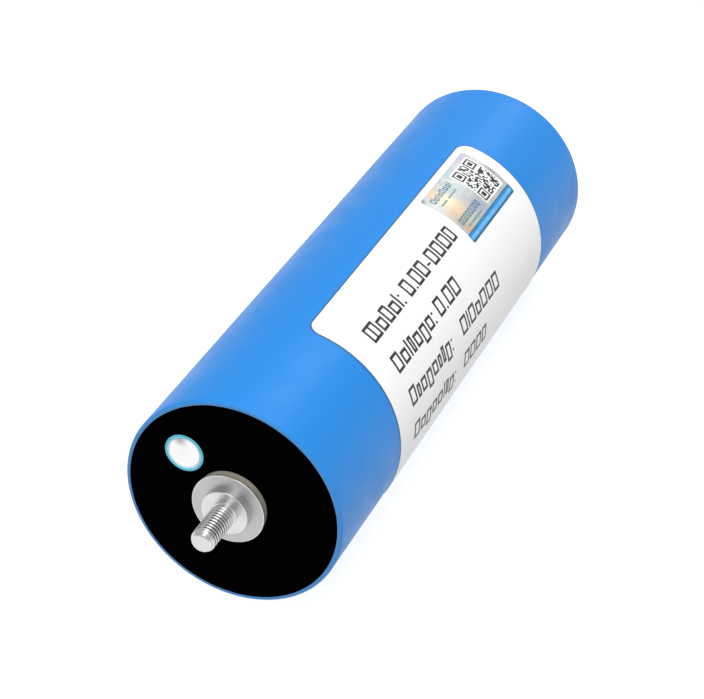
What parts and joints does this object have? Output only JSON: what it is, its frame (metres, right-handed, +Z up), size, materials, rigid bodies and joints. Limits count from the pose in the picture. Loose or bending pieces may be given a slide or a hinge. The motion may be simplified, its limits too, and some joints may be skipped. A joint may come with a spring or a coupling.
{
  "type": "cylindrical battery cell",
  "caption": "Large cylindrical lithium cell in a blue sleeve with a white label, a threaded stud on each end and a round safety vent beside one stud.",
  "frame": {"origin": "middle of the cell, on its axis, half way between the two ends", "axes": "the cell lies along Y with its vented positive end toward -Y and its negative end toward +Y; +Z is up, with the label on the upper +X side"},
  "size_m": [0.0461, 0.1728, 0.046],
  "materials": {
    "sleeve_blue": "gloss",
    "label_paper": "satin",
    "sticker_foil": "gloss",
    "can_metal": "satin",
    "disc_black": "matte",
    "cap_metal": "satin",
    "terminal_metal": "polished",
    "washer_metal": "polished",
    "gasket_beige": "matte",
    "seal_rubber": "matte",
    "tab_aluminium": "satin",
    "tab_copper": "satin",
    "support_plastic": "matte",
    "ring_cyan": "gloss",
    "film_white": "satin",
    "flap_metal": "satin",
    "mandrel_plastic": "matte",
    "cathode_coat": "matte",
    "anode_coat": "matte",
    "separator_film": "satin",
    "tape_amber": "gloss",
    "wrap_film": "gloss"
  },
  "bodies": {
    "cell": {"anode_winding": "anode_coat", "can": "can_metal", "cathode_winding": "cathode_coat", "fill_plug": "cap_metal", "inner_separator": "separator_film", "label": "label_paper", "mandrel": "mandrel_plastic", "negative_cap": "cap_metal", "negative_collar": "terminal_metal", "negative_collector_disc": "tab_copper", "negative_inner_gasket": "seal_rubber", "negative_insulating_disc": "disc_black", "negative_outer_gasket": "gasket_beige", "negative_support_insulator": "support_plastic", "negative_tab": "tab_copper", "negative_terminal_stud": "terminal_metal", "negative_washer": "washer_metal", "outer_separator": "separator_film", "positive_cap": "cap_metal", "positive_collar": "terminal_metal", "positive_collector_disc": "tab_aluminium", "positive_inner_gasket": "seal_rubber", "positive_insulating_disc": "disc_black", "positive_outer_gasket": "gasket_beige", "positive_support_insulator": "support_plastic", "positive_tab": "tab_aluminium", "positive_terminal_stud": "terminal_metal", "positive_washer": "washer_metal", "roll_tape": "tape_amber", "roll_wrap": "wrap_film", "security_sticker": "sticker_foil", "shrink_sleeve": "sleeve_blue", "vent_ring": "ring_cyan"},
    "vent": {"vent_film": "film_white", "vent_flap": "flap_metal"}
  },
  "joints": [
    {"name": "vent_burst", "type": "hinge", "parent": "cell", "child": "vent", "pos_m": [-0.0099, -0.07257, 0.01241], "axis": [-1, 0, 0], "range_deg": [0, 80]}
  ]
}
